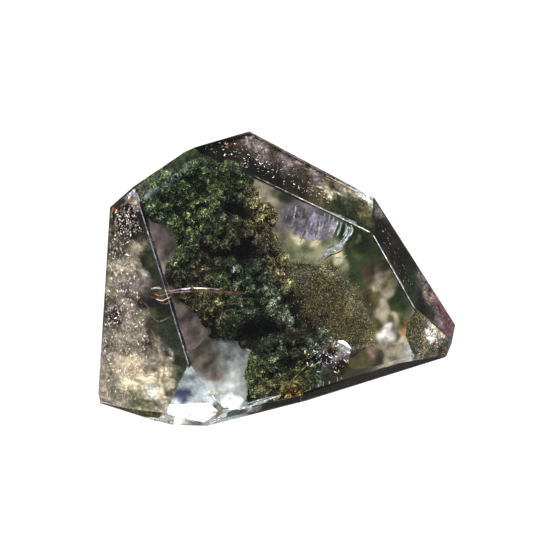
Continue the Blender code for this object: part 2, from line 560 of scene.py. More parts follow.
# %% The palette
PALETTE = {
    "black": (0.0015, 0.0015, 0.001, 1.0),
    "purple black": (0.010, 0.008, 0.014, 1.0),
    "brown black": (0.014, 0.011, 0.007, 1.0),
    "deep green": (0.016, 0.024, 0.010, 1.0),
    "green": (0.034, 0.052, 0.021, 1.0),
    "grass": (0.070, 0.085, 0.032, 1.0),
    "olive": (0.085, 0.076, 0.032, 1.0),
    "bright olive": (0.190, 0.170, 0.078, 1.0),
    "teal": (0.050, 0.070, 0.040, 1.0),
    "pale teal": (0.170, 0.215, 0.145, 1.0),
    "brown": (0.050, 0.036, 0.024, 0.9),
    "purple grey": (0.190, 0.150, 0.148, 0.85),
    "milky": (0.370, 0.390, 0.395, 0.97),
    "ice": (0.560, 0.600, 0.660, 0.9),
    "grey lilac": (0.150, 0.140, 0.155, 0.9),
    "pale green": (0.215, 0.225, 0.135, 0.9),
    "blue grey": (0.280, 0.320, 0.340, 0.85),
    "dark blue": (0.045, 0.055, 0.110, 0.9),
    "beige": (0.330, 0.290, 0.215, 0.85),
    "taupe": (0.175, 0.155, 0.130, 0.9),
    "sky": (0.390, 0.450, 0.470, 0.98),
    "wine": (0.150, 0.065, 0.080, 0.9),
    "veil": (0.210, 0.235, 0.260, 0.34),
    "dusk green": (0.100, 0.100, 0.060, 0.9),
    "beige frost": (0.290, 0.260, 0.205, 0.40),
    "pink frost": (0.420, 0.350, 0.310, 0.38),
    "russet": (0.170, 0.065, 0.022, 0.8),
    "cream": (0.800, 0.700, 0.490, 0.9),
    "white": (1.000, 0.980, 0.950, 1.0),
    "lavender": (0.330, 0.300, 0.400, 0.6),
    "rose": (0.360, 0.170, 0.170, 0.8),
    "rust": (0.420, 0.110, 0.015, 1.0),
    "ochre": (0.360, 0.190, 0.035, 0.9),
    "clear": (0.100, 0.090, 0.080, 0.0),
}
# how far the zones' borders wander in mm, the wave's turns per metre along x, y and z, its start
WANDER = [
    (0.35, (900, 500, 700), 0.3), (0.25, (-1500, 1900, 1300), 1.7), (0.12, (3900, -3100, 3500), 4.1)]
ZONE_HEART = 0.12
ZONE_FALL = -2.5


def wander(points):
    """Push points about by waves, so that the borders between zones wander too."""
    moved = points.copy()
    for axis in range(3):
        for reach, waves, start in WANDER:
            moved[:, axis] += reach * MM * np.sin(points @ np.roll(waves, axis) + start + axis)
    return moved


def lay_paint(obj, colours):
    """Store a colour for each point of a mesh, in place of any paint that it has."""
    old = obj.data.color_attributes.get("tint")
    if old:
        obj.data.color_attributes.remove(old)
    layer = obj.data.color_attributes.new("tint", "FLOAT_COLOR", "POINT")
    layer.data.foreach_set("color", np.asarray(colours, np.float32).ravel())


def paint_of(obj):
    """The colours stored on a mesh's points."""
    layer = obj.data.color_attributes["tint"].data
    colours = np.empty(len(layer) * 4, np.float32)
    layer.foreach_get("color", colours)
    return colours.reshape(-1, 4)


def paint(obj, face, depth, zones):
    """Paint a piece by the zones, each seen through a face at a depth in mm."""
    points = wander(np.array([v.co for v in obj.data.vertices]))
    total = np.zeros((len(points), 1))
    colour = np.zeros((len(points), 4))
    for name, places in zones.items():
        for x, y, reach in places:
            centre = np.array(seen_through(face, x, y, depth))
            far = ((points - centre) ** 2).sum(1) / (reach * PIXEL) ** 2
            weight = (ZONE_HEART + far[:, None]) ** ZONE_FALL
            total += weight
            colour += weight * np.array(PALETTE[name])
    lay_paint(obj, colour / total)


print("colours on the palette:", len(PALETTE))

# %% [markdown]
# ## Geometry Nodes for what repeats
#
# One small shape is placed on many points, each turned and sized at random, and the copies are made
# real so that they are plain mesh. The same set-up lays the moss's balls, its grains and the glints.

# %% The scatter group
FORMS = {
    "ball": ("GeometryNodeMeshIcoSphere", {"Radius": 1.0, "Subdivisions": 3}),
    "grain": ("GeometryNodeMeshCone", {"Vertices": 3, "Radius_Bottom": 0.6, "Depth": 0.8}),
    "flake": ("GeometryNodeMeshCube", {}),
}
ANY_TURN = ((0, 0, 0), (6.28, 6.28, 6.28))


def random_value(group, kind, low, high, seed):
    """A Random Value node, and the socket that gives its result."""
    made = node(group, "FunctionNodeRandomValue", data_type=kind, Seed=seed)
    first = 0 if kind == "FLOAT_VECTOR" else 2
    made.inputs[first].default_value = low
    made.inputs[first + 1].default_value = high
    return made.outputs[first // 2]


def scatter_group(name, kind, shape, turns, density, sizes, lift, seed):
    """Copies of a shape on the faces of a mesh when density isn't 0, or else on its loose points."""
    group = bpy.data.node_groups.new(name, "GeometryNodeTree")
    group.interface.new_socket("Geometry", in_out="INPUT", socket_type="NodeSocketGeometry")
    group.interface.new_socket("Geometry", in_out="OUTPUT", socket_type="NodeSocketGeometry")
    link = group.links.new
    entry = node(group, "NodeGroupInput")
    leave = node(group, "NodeGroupOutput")
    if density:
        points = node(group, "GeometryNodeDistributePointsOnFaces", Density=density, Seed=seed)
        along = node(group, "ShaderNodeVectorMath", operation="SCALE")
        source = node(group, "GeometryNodeSetPosition")
        link(points.outputs["Normal"], along.inputs[0])
        link(random_value(group, "FLOAT", -0.3 * lift, lift, seed + 1), along.inputs["Scale"])
        link(points.outputs["Points"], source.inputs["Geometry"])
        link(along.outputs[0], source.inputs["Offset"])
    else:
        points = source = node(group, "GeometryNodeMeshToPoints")
    link(entry.outputs[0], points.inputs["Mesh"])
    form, settings = FORMS[kind]
    stretched = node(group, "GeometryNodeTransform", Scale=shape)
    link(node(group, form, **settings).outputs["Mesh"], stretched.inputs["Geometry"])
    copies = node(group, "GeometryNodeInstanceOnPoints")
    link(source.outputs[0], copies.inputs["Points"])
    link(stretched.outputs[0], copies.inputs["Instance"])
    link(random_value(group, "FLOAT_VECTOR", *turns, seed + 2), copies.inputs["Rotation"])
    if sizes:
        size = random_value(group, "FLOAT", *sizes, seed + 3)
    else:
        stored = node(group, "GeometryNodeInputNamedAttribute", data_type="FLOAT", Name="size")
        size = stored.outputs["Attribute"]
    link(size, copies.inputs["Scale"])
    real = node(group, "GeometryNodeRealizeInstances")
    link(copies.outputs[0], real.inputs[0])
    link(real.outputs[0], leave.inputs[0])
    return group


def scatter_on(obj, name, density, sizes, lift, seed):
    """Cover a surface with grains, as a new piece. Density is grains per square metre."""
    only(obj)
    bpy.ops.object.duplicate()
    made = named(name)
    made.parent = None
    for key in list(made.keys()):
        del made[key]
    step = made.modifiers.new("grains", "NODES")
    step.node_group = scatter_group(name, "grain", (1, 1, 1), ANY_TURN, density, sizes, lift, seed)
    apply_modifiers(made)
    return made


def loose_mesh(name, points, quads=()):
    """A new piece from points, and the faces between them."""
    made = added(name, bpy.ops.mesh.primitive_plane_add, size=1 * MM)
    made.data.clear_geometry()
    made.data.from_pydata([tuple(p) for p in points], [], quads)
    return made


def scatter_at(points, name, sizes, seed, kind="grain", shape=(1, 1, 1), turns=ANY_TURN):
    """A shape at each of a list of points, as a new piece. With a list of sizes, each has its own."""
    made = loose_mesh(name, points)
    own = isinstance(sizes, list)
    if own:
        made.data.attributes.new("size", "FLOAT", "POINT").data.foreach_set("value", sizes)
    step = made.modifiers.new("grains", "NODES")
    step.node_group = scatter_group(name, kind, shape, turns, 0, None if own else sizes, 0, seed)
    apply_modifiers(made)
    return made


# %% [markdown]
# ## Shade in the crevices
#
# Moss looks deep because its crevices lie in shade and its tips catch the light, so painted shade goes
# into the crevices and painted highlights onto the tips. Smoothing a copy of the mesh tells which is
# which: a point that stands out of the smooth copy is a tip. A few steps of smoothing find the small
# crevices, and many steps find the broad hollows.

# %% Shade by crevices
def stand_out(obj, steps):
    """How far each point stands out of its smoothed surroundings, as a share of the usual distance."""
    mesh = obj.data
    count = len(mesh.vertices)
    places = np.empty(count * 3)
    mesh.vertices.foreach_get("co", places)
    places = places.reshape(-1, 3)
    normals = np.empty(count * 3)
    mesh.vertex_normals.foreach_get("vector", normals)
    edges = np.empty(len(mesh.edges) * 2, int)
    mesh.edges.foreach_get("vertices", edges)
    edges = edges.reshape(-1, 2)
    ends = np.concatenate([edges[:, 0], edges[:, 1]])
    others = np.concatenate([edges[:, 1], edges[:, 0]])
    links = np.bincount(ends, minlength=count)
    smooth = places
    for _ in range(steps):
        moved = [np.bincount(ends, smooth[others, axis], count) / links for axis in range(3)]
        smooth = np.stack(moved, axis=1)
    height = ((places - smooth) * normals.reshape(-1, 3)).sum(1)
    return np.clip(height / height.std(), -2.5, 2.5)


def shade_crevices(obj):
    """Paint shade into the crevices and highlights onto the tips of the stored colour."""
    colours = paint_of(obj)
    colours[:, :3] *= np.exp(0.35 * stand_out(obj, 2) + 0.6 * stand_out(obj, 20))[:, None]
    lay_paint(obj, colours)


def borrow_paint(obj, source):
    """Give each point the paint of the nearest point of another piece."""
    tree = KDTree(len(source.data.vertices))
    for vertex in source.data.vertices:
        tree.insert(vertex.co, vertex.index)
    tree.balance()
    lay_paint(obj, paint_of(source)[[tree.find(v.co)[1] for v in obj.data.vertices]])


# %% [markdown]
# ## The chlorite moss
#
# The moss is a heap of small round clumps. It could be sculpted by hand, but so many clumps are
# sooner laid by rule: many balls inside its outline, melted together by a voxel remesh, and
# roughened by two displacements, the way the real one branches.

# %% Melt balls into a lump
WALL = 0.3 * MM


def roughen(obj, name, size, strength):
    """Push a surface in and out by a procedural cloud texture. size and strength are in mm."""
    clouds = bpy.data.textures.new(name, "CLOUDS")
    clouds.noise_scale = size * MM
    clouds.noise_depth = 2
    step = obj.modifiers.new(name, "DISPLACE")
    step.texture = clouds
    step.texture_coords = "GLOBAL"
    step.strength = strength * MM
    step.mid_level = 0.5


def melted(name, layers, seed, voxel, roughness_steps):
    """Balls in layers (outline, count, depth function, smallest, largest in mm), melted together."""
    rng = random.Random(seed)
    places = []
    radii = []
    for outline, count, depth_at, smallest, largest in layers:
        for x, y in random_in(outline, count, rng):
            radius = rng.uniform(smallest, largest) * MM
            place = held_inside("front", x, y, depth_at(x, y, rng), radius * 1.25 + WALL)
            if place:
                places.append(place)
                radii.append(radius)
    body = scatter_at(places, name, radii, seed, "ball")
    melt = body.modifiers.new("melt", "REMESH")
    melt.mode = "VOXEL"
    melt.voxel_size = voxel * MM
    for step in roughness_steps:
        roughen(body, *step)
    apply_modifiers(body)
    print(name, "is melted from", len(places), "balls")
    return body


# %% [markdown]
# ## The moss body
#
# The balls lie just behind the front face. Where the moss has a hollow they lie deeper, so that no
# lamp reaches them. A second layer of larger balls behind closes the gaps.

# %% The moss body
MOSS_OUTLINE = [
    (141, 200), (150, 186), (166, 172), (190, 153), (205, 157), (243, 175), (247, 195), (262, 203),
    (274, 218), (272, 232), (276, 250), (286, 262), (292, 290), (296, 315), (310, 332), (332, 336),
    (322, 352), (314, 372), (322, 384), (300, 396), (254, 404), (252, 380), (252, 352), (228, 334),
    (208, 326), (198, 309), (186, 297), (173, 292), (168, 282), (168, 271), (173, 261), (180, 249),
    (181, 237), (171, 225), (152, 212),
]
# each hollow: its middle, and how many pixels it reaches
HOLLOWS = [
    (228, 208, 12), (242, 212, 8), (244, 252, 15), (222, 254, 9), (224, 267, 6), (250, 334, 16),
    (272, 330, 12), (298, 320, 10), (314, 320, 8), (288, 300, 8), (205, 248, 7), (288, 364, 8),
    (255, 282, 6),
]


def moss_depth(x, y, rng):
    """How deep a moss ball lies: near the front face, and far back in the hollows."""
    depth = 2.2 + 1.6 * noise.noise((x / 22, y / 22, 0.5)) + 2.0 * rng.random() ** 2
    for hollow_x, hollow_y, reach in HOLLOWS:
        far = ((x - hollow_x) ** 2 + (y - hollow_y) ** 2) / reach ** 2
        if far < 1:
            depth += 4.5 * (1 - far)
    return depth


def backing_depth(x, y, rng):
    """How deep a ball of the second layer lies."""
    return moss_depth(x, y, rng) + rng.uniform(2.0, 3.5)


moss = melted("moss_body", [
    (MOSS_OUTLINE, 900, moss_depth, 0.30, 0.85),
    (MOSS_OUTLINE, 260, backing_depth, 0.9, 1.6),
], 14, 0.20, [("moss_clumps", 1.0, 0.8), ("moss_grit", 0.35, 0.5)])

# %% Paint the moss by where it grows
# The black, purple black and brown black zones are painted shade in the hollows, and the bright olive, pale
# teal and white zones are painted highlights on lit bumps; the others are the moss's own colours.
MOSS_ZONES = {
    "green": [(155, 190, 14), (190, 180, 14), (165, 205, 16), (232, 180, 12), (180, 232, 8), (195, 246, 8),
        (188, 266, 6), (176, 254, 6), (215, 280, 9), (235, 298, 8), (230, 314, 7), (273, 373, 8),
        (310, 375, 7)],
    "teal": [(170, 178, 12), (235, 280, 8), (250, 310, 7), (306, 345, 6), (266, 346, 8)],
    "deep green": [(190, 160, 12), (207, 170, 12), (241, 187, 7), (242, 228, 7), (224, 196, 7),
        (200, 233, 9), (214, 238, 8), (260, 250, 7), (222, 274, 6), (178, 268, 6), (250, 275, 8),
        (255, 298, 8), (208, 316, 8), (230, 333, 7), (286, 362, 8), (295, 374, 6)],
    "grass": [(213, 182, 14), (195, 215, 14), (254, 368, 8), (250, 390, 7)],
    "purple black": [(228, 206, 10)],
    "black": [(217, 216, 9), (240, 212, 8), (228, 251, 9), (246, 252, 10), (237, 262, 8), (288, 300, 8),
        (214, 326, 7), (262, 326, 10), (298, 318, 7), (314, 322, 7), (252, 338, 9)],
    "olive": [(248, 200, 8), (268, 217, 7), (272, 236, 6), (228, 236, 7), (272, 256, 8), (288, 284, 8),
        (201, 264, 6), (217, 266, 6), (212, 300, 9), (266, 384, 8)],
    "bright olive": [(256, 209, 7), (253, 224, 6), (279, 272, 7)],
    "brown black": [(262, 243, 7), (216, 250, 8), (203, 252, 8), (178, 281, 8), (240, 326, 9),
        (280, 335, 9)],
    "brown": [(262, 232, 8), (197, 276, 8), (218, 306, 6), (303, 326, 5)], "white": [(259, 262, 4)],
    "pale teal": [(233, 268, 5), (264, 286, 5), (272, 296, 5), (266, 308, 5), (283, 314, 5), (324, 336, 5),
        (265, 360, 5)],
    "ochre": [(283, 386, 5), (298, 368, 4)],
}
MOSS_DEPTH = 3.5

paint(moss, "front", MOSS_DEPTH, MOSS_ZONES)
shade_crevices(moss)
dress(moss, "chlorite", (8000, 0.05, 1.4), relief=0.12, nodes=["chlorite_moss"])

# %% [markdown]
# ## Grains on the moss
#
# Single flakes of chlorite stand on the moss and catch the light. They borrow the colour of the moss
# they stand on, and a few pale specks on top are painted highlights.

# %% Grains on the moss
grains = scatter_on(moss, "moss_grains", 1.4e7, (0.06 * MM, 0.15 * MM), 0.25 * MM, 3)
borrow_paint(grains, moss)
for vertex in grains.data.vertices:
    if room_inside(vertex.co) < LEAST_ROOM:
        vertex.co = tucked(vertex.co, LEAST_ROOM)
dress(grains, "chlorite", (9000, 0.08, 3.2))
# pale specks painted in highlight colours over the moss
specks = scatter_on(moss, "pale_highlight_specks", 5.0e5, (0.07 * MM, 0.13 * MM), 0.5 * MM, 17)
paint(specks, "front", MOSS_DEPTH, {
    "pale teal": [(190, 190, 40), (240, 260, 40), (270, 300, 40), (262, 380, 40)],
    "cream": [(262, 215, 40)], "milky": [(215, 175, 40)], "lavender": [(180, 230, 40)]})
dress(specks, "chlorite", (9000, 0.5, 2.0))

# %% [markdown]
# ## The far cloud
#
# Behind the clear right half hangs a second cloud of chlorite. It is out of focus in the photo, so it
# is a body of larger, smoother lumps with soft colours, and its cream places are painted light where
# the cloud has gaps.

# %% The far cloud
CLOUD_OUTLINE = [
    (300, 235), (330, 232), (350, 236), (374, 240), (392, 264), (404, 300), (396, 320), (372, 326),
    (340, 338), (305, 335), (290, 300), (285, 255),
]
BACK_OUTLINE = [(205, 215), (250, 200), (280, 250), (290, 310), (270, 345), (230, 335), (208, 300)]
# the cream zones are painted light where the cloud has gaps
CLOUD_ZONES = {
    "deep green": [(290, 220, 14), (372, 262, 12), (395, 280, 9), (235, 360, 18)],
    "olive": [(320, 235, 10), (372, 305, 7), (365, 330, 10), (330, 330, 14), (300, 300, 14)],
    "cream": [(310, 240, 8), (336, 260, 8), (384, 295, 9), (382, 328, 6)], "grass": [(300, 255, 10)],
    "green": [(350, 245, 14), (355, 280, 10), (395, 310, 8)], "ochre": [(398, 332, 6)],
    "brown black": [(250, 250, 25), (215, 300, 20)],
}


def cloud_depth(x, y, rng):
    """How deep a ball of the right cloud lies."""
    return 12.5 + 2.5 * noise.noise((x / 30, y / 30, 4.5)) + rng.uniform(-0.8, 0.8)


def far_back(x, y, rng):
    """How deep a ball behind the moss lies."""
    return rng.uniform(11, 16.5)


cloud = melted("far_cloud", [
    (CLOUD_OUTLINE, 230, cloud_depth, 0.9, 1.9),
    (BACK_OUTLINE, 130, far_back, 1.0, 2.2),
], 23, 0.34, [("cloud_swell", 2.4, 1.4), ("cloud_fuzz", 0.9, 1.1)])
paint(cloud, "front", 12.5, CLOUD_ZONES)
only(cloud)
bpy.ops.object.shade_smooth()
dress(cloud, "chlorite", (2500, 0.8, 1.4), relief=0.1, nodes=["chlorite_moss"])

# %% [markdown]
# ## Films
#
# Thin films of chlorite, healed cracks and wisps lie in the stone. A cloudy volume could stand for
# them, but it would be slow inside clear quartz, and its borders would be hard to place. So each is a
# grid over its photo outline, laid along the bent rays behind a face, waved a little, and given a thin
# wall. Points that fall outside the outline are moved onto it, so that the film's edge is clean.

# %% How a film is made
FILM_WALL = 0.04 * MM
FILM_ROOM = 0.05 * MM
THREAD_ROOM = 0.04 * MM
# how far past its outline a grid's points are kept, in grid steps
KEPT_BEYOND = 1.4
# a film's waves in pixels, and its least depths in mm
WAVE_PITCH = 12
FILM_SHALLOWEST = 0.15
TUCKED_DEPTH = 0.12


def nearest_on(outline, x, y):
    """The point of an outline that lies nearest to a pixel."""
    place = Vector((x, y))
    best = None
    for start, end in zip(outline, outline[1:] + outline[:1]):
        start = Vector(start)
        along = Vector(end) - start
        share = min(1, max(0, (place - start).dot(along) / along.length_squared))
        point = start + along * share
        if best is None or (point - place).length < (best - place).length:
            best = point
    return best


def edge_distance(outline, x, y):
    """How far a pixel is from the nearest side of an outline."""
    return (nearest_on(outline, x, y) - Vector((x, y))).length


def film_wall(obj):
    """Give a sheet its thin wall, half on each side."""
    wall = obj.modifiers.new("wall", "SOLIDIFY")
    wall.thickness = FILM_WALL
    wall.offset = 0
    apply_modifiers(obj)
    obj.visible_shadow = False


def film(name, face, depth, outline, zones, grain, slot="chlorite", wave=0.3, step=3.0, feather=0,
         **look):
    """A thin wavy sheet behind a face. depth and wave are in mm, step is the grid's pixels, feather
    is how many pixels it takes to fade in from its edge, and look goes to dress."""
    xs, ys = zip(*outline)
    width = max(xs) - min(xs)
    height = max(ys) - min(ys)
    sheet = added(
        name, bpy.ops.mesh.primitive_grid_add, size=1, x_subdivisions=max(2, int(width / step)),
        y_subdivisions=max(2, int(height / step)),
        location=((max(xs) + min(xs)) / 2, (max(ys) + min(ys)) / 2, 0))
    sheet.scale = (width, height, 1)
    settle(sheet)
    keep = KEPT_BEYOND * step
    bpy.ops.object.mode_set(mode="EDIT")
    bpy.ops.mesh.select_all(action="DESELECT")
    bpy.ops.object.mode_set(mode="OBJECT")
    for vertex in sheet.data.vertices:
        x, y, _ = vertex.co
        vertex.select = not in_outline(outline, x, y) and edge_distance(outline, x, y) > keep
    bpy.ops.object.mode_set(mode="EDIT")
    bpy.ops.mesh.delete(type="VERT")
    bpy.ops.object.mode_set(mode="OBJECT")
    fade = sheet.data.attributes.new("fade", "FLOAT", "POINT")
    for vertex in sheet.data.vertices:
        x, y, _ = vertex.co
        if not in_outline(outline, x, y):
            x, y = nearest_on(outline, x, y)
        fade.data[vertex.index].value = min(1, edge_distance(outline, x, y) / feather) if feather else 1
        swell = wave * noise.noise((x / WAVE_PITCH, y / WAVE_PITCH, 1.0))
        lies = max(depth + swell, FILM_SHALLOWEST)
        place = held_inside(face, x, y, lies, FILM_ROOM)
        vertex.co = place or tucked(seen_through(face, x, y, TUCKED_DEPTH), THREAD_ROOM)
    film_wall(sheet)
    face_outwards()
    paint(sheet, face, depth, zones)
    colours = paint_of(sheet)
    colours[:, 3] *= [kept.value for kept in sheet.data.attributes["fade"].data]
    lay_paint(sheet, colours)
    dress(sheet, slot, grain, **look)


# %% [markdown]
# ## Dust
#
# To the right of the moss the quartz is full of fine chlorite dust. A soft film gives it its body,
# thousands of tiny grains hang in front of it, and a few cream ones glow a little as painted
# highlights that shine like gold.

# %% Dust
DUST_OUTLINE = [
    (280, 262), (300, 260), (330, 266), (352, 283), (368, 315), (374, 345), (355, 350), (330, 340),
    (305, 337), (290, 315), (283, 290),
]
DUST_ZONES = {
    "olive": [(322, 298, 18), (350, 326, 12), (338, 342, 8), (292, 285, 6), (340, 300, 6)],
    "dusk green": [(300, 275, 10), (364, 300, 9), (345, 282, 8)], "deep green": [(290, 304, 8)],
    "brown black": [(306, 326, 8)], "brown": [(322, 318, 9)],
    "bright olive": [(374, 340, 7), (352, 306, 7)], "pale green": [(330, 266, 8)],
}
film("dust_ground", "front", 5.2, DUST_OUTLINE, DUST_ZONES, (9000, 0.3, 1.5), wave=0.8, feather=6,
     relief=0.05, cover=SOFT)


def dusting(name, count, low, high, sizes, seed):
    """Grains in the dust's outline, between two depths in mm, some of them strayed over its edge."""
    rng = random.Random(5)
    places = [held_inside(
        "front", x + rng.gauss(0, 4), y + rng.gauss(0, 4), rng.uniform(low, high), 0.2 * MM)
        for x, y in random_in(DUST_OUTLINE, count, rng)]
    return scatter_at([place for place in places if place], name, sizes, seed)


dust = dusting("chlorite_dust", 9000, 3.6, 5.4, (0.05 * MM, 0.12 * MM), 21)
paint(dust, "front", 4.5, DUST_ZONES)
dress(dust, "chlorite", (9000, 0.4, 8.0))
gold = dusting("gold_dust", 420, 3.2, 4.4, (0.06 * MM, 0.10 * MM), 22)
paint(gold, "front", 4.0, {"cream": [(320, 300, 60)]})
dress(gold, "chlorite", (9000, 0.8, 1.6), glow=0.2)

# %% [markdown]
# ## Under the left face
#
# The left face is left as grown. A frost of fine steps lies right under it, and behind the frost
# hang the brown and cream wisps that the photo shows through this face.

# %% Under the left face
LEFT_OUTLINE = [(111, 209), (134, 189), (188, 365), (167, 410), (164, 416), (100, 401)]
film("left_frost", "left", 0.3, LEFT_OUTLINE, {
    "beige frost": [(116, 222, 8), (114, 265, 12), (112, 300, 12), (106, 345, 10), (108, 385, 12)],
    "pink frost": [(112, 240, 8), (122, 268, 10), (122, 315, 12), (134, 240, 5), (116, 330, 7),
        (120, 372, 8)],
    "clear": [(122, 345, 10), (130, 390, 10), (129, 225, 7), (140, 300, 9), (150, 262, 8), (163, 305, 9),
        (127, 290, 6), (172, 335, 9), (150, 335, 8), (177, 368, 7), (152, 365, 8), (152, 388, 8),
        (160, 405, 6)],
    # the white spots at the top corner are painted highlights
    "white": [(136, 198, 5), (144, 214, 3)], "lavender": [(131, 196, 3)], "rose": [(139, 206, 3)],
}, (3500, 0.3, 2.4), "quartz", wave=0.1, relief=0.3, cover=(1900, 0.45, (1, 1, 0.6)))
film("left_film", "left", 1.3, LEFT_OUTLINE, {
    "black": [(128, 222, 9), (143, 262, 4), (150, 302, 7), (166, 308, 6)],
    "olive": [(114, 232, 7), (127, 248, 7), (170, 391, 4)],
    "brown": [(118, 250, 8), (149, 290, 5), (152, 330, 6), (110, 310, 10), (146, 342, 4)],
    "cream": [(141, 247, 3), (168, 358, 4), (160, 378, 6), (161, 393, 5), (144, 385, 7), (128, 375, 10)],
    "beige": [(136, 252, 5), (122, 268, 8), (132, 264, 6), (112, 285, 8), (142, 325, 6), (128, 308, 8),
        (143, 352, 6), (157, 345, 4), (155, 366, 6), (120, 345, 10), (105, 375, 8), (112, 392, 8),
        (118, 400, 6), (155, 405, 5)],
    "deep green": [(148, 254, 5), (154, 275, 5), (168, 325, 8), (176, 340, 6), (181, 362, 6)],
    "purple grey": [(130, 285, 8), (105, 345, 7)], "white": [(143, 275, 2), (154, 389, 6)],
    "grass": [(155, 318, 3)], "brown black": [(165, 351, 4)], "milky": [(172, 348, 3)],
    "green": [(178, 375, 5)], "pale green": [(140, 402, 7)],
}, (4500, 0.5, 1.6), wave=0.5, step=2.0, relief=0.1, cover=WISPS)

# %% [markdown]
# ## Under the shoulder, the right face and the tip
#
# These faces bend the light so that they show dark depths with a few bright wisps. Each gets one film
# of its own, behind it: its dark colours are partly chlorite and partly painted shade, and its white
# zones are painted highlights.

# %% Under the shoulder, the right face and the tip
film("shoulder_film", "shoulder", 1.5, [(195, 148), (249, 133), (373, 199), (371, 228), (300, 199),
     (245, 171)], {
    "black": [(203, 148, 7), (218, 152, 8), (252, 168, 8), (272, 175, 9), (355, 222, 6)],
    "brown": [(237, 141, 5), (275, 152, 7), (300, 172, 7), (335, 184, 5)],
    "brown black": [(222, 143, 5), (235, 158, 8), (298, 186, 9)],
    "purple grey": [(252, 141, 5), (262, 150, 7), (290, 160, 8), (318, 176, 6)], "cream": [(330, 192, 4)],
    "beige": [(345, 190, 4)], "olive": [(318, 196, 7), (362, 206, 5), (367, 221, 6)],
    "deep green": [(335, 202, 8), (350, 212, 8)], "white": [(366, 197, 5), (372, 201, 4)],
}, (4500, 0.4, 1.8), wave=0.5, relief=0.1, cover=WISPS)
film("right_film", "right", 1.5, [(375, 201), (455, 323), (448, 341), (418, 312), (390, 262), (375, 236)], {
    "purple grey": [(378, 212, 6), (438, 318, 6)],
    "black": [(382, 230, 8), (402, 265, 8), (422, 305, 7), (434, 328, 5)], "brown black": [(392, 248, 9)],
    "deep green": [(412, 285, 8), (430, 312, 5)], "taupe": [(424, 288, 5)], "beige": [(427, 297, 4)],
    "wine": [(440, 305, 7), (447, 322, 8), (452, 333, 5)], "rose": [(445, 310, 4)],
}, (4500, 0.4, 1.8), wave=0.5, relief=0.1, cover=WISPS)
film("tip_film", "tip", 1.4, [(417, 311), (449, 341), (447, 356), (415, 357), (407, 335), (409, 322)], {
    "olive": [(414, 325, 6), (420, 335, 7), (430, 352, 6)], "white": [(432, 338, 5)],
    "cream": [(437, 332, 4)], "bright olive": [(424, 345, 6)], "brown": [(445, 354, 3)],
    "brown black": [(442, 349, 4)], "taupe": [(441, 343, 4), (420, 354, 5)], "green": [(412, 352, 6)],
    "dusk green": [(414, 340, 6)],
}, (6500, 0.3, 2.5), wave=0.4, step=2.0, relief=0.1, cover=WISPS)

# %% [markdown]
# ## Under the corner and the feet
#
# The corner face gathers the sky and the white table in bright flashes; here they are painted, as
# glowing films in sky colours and white. The bevels at the foot are narrow strips; their films hold
# painted shade, darkest on the right, and a few painted highlights.

# %% Under the corner and the feet
# painted reflections of the sky, with a little glow
film("corner_reflection_film", "corner", 1.2, [(189, 367), (222, 412), (204, 423), (166, 414)], {
    "sky": [(190, 373, 6), (186, 384, 6), (201, 392, 6), (176, 402, 4)],
    "blue grey": [(196, 383, 5), (190, 394, 4)], "dark blue": [(181, 394, 5)],
    "ice": [(206, 398, 5), (190, 402, 4)], "clear": [(185, 411, 6), (200, 411, 6)],
    "taupe": [(216, 414, 5)], "olive": [(213, 404, 3)],
}, (2500, 0.9, 1.2), wave=0.3, step=2.0, cover=SOFT, glow=0.12)
# the milky and cream zones are painted, glowing highlights beside a russet iron stain
film("edge_highlight_and_stain", "left", 0.25, [(124, 204), (131, 192), (137, 187), (146, 208), (148, 217), (141, 216),
     (134, 208)], {
    "milky": [(136, 198, 5), (144, 212, 3)], "russet": [(127, 203, 4)], "cream": [(134, 206, 3)],
    "veil": [(131, 193, 4)], "clear": [(139, 208, 4)],
}, (5000, 0.7, 1.4), "quartz", wave=0, step=1.0, feather=5, cover=(1600, 0.8), glow=0.25)
# the corner flash is a painted, glowing highlight
film("corner_flash", "corner", 0.4, [(168, 405), (207, 402.5), (221, 412), (204, 423), (165, 414)], {
    "white": [(180, 410, 12), (200, 410, 12), (205, 417, 8)], "milky": [(190, 417, 5)],
    "clear": [(218, 413, 4)], "brown": [(213, 408, 2)],
}, (2500, 0.9, 1.2), "quartz", wave=0, step=1.0, feather=1, cover=SOFT, glow=0.8)
FOOT_OUTLINES = {
    "foot_left": [(98, 402), (130, 409), (160, 415.5), (158, 419), (130, 415), (104, 409)],
    "foot_front": [(226, 417.5), (300, 401.5), (300, 396), (228, 412)],
    "foot_right": [(302, 401), (446, 357.5), (438, 356.5), (400, 363), (304, 393)],
}
# the black zones are painted shade, and the white and milky ones painted highlights
FOOT_ZONES = {
    "brown": [(105, 405, 14)], "olive": [(130, 412, 14), (160, 418, 12)], "beige": [(192, 424, 6)],
    "white": [(208, 421, 6), (252, 408, 7)], "milky": [(222, 417, 5)], "blue grey": [(235, 414, 8)],
    "black": [(270, 405, 9), (290, 400, 9), (320, 392, 12)],
    "brown black": [(360, 380, 14), (400, 367, 14)], "purple black": [(430, 360, 10)],
}
for foot, outline in FOOT_OUTLINES.items():
    film(foot + "_film", foot, 0.3, outline, FOOT_ZONES, (4500, 0.5, 1.6), wave=0, step=1.0, cover=SOFT)
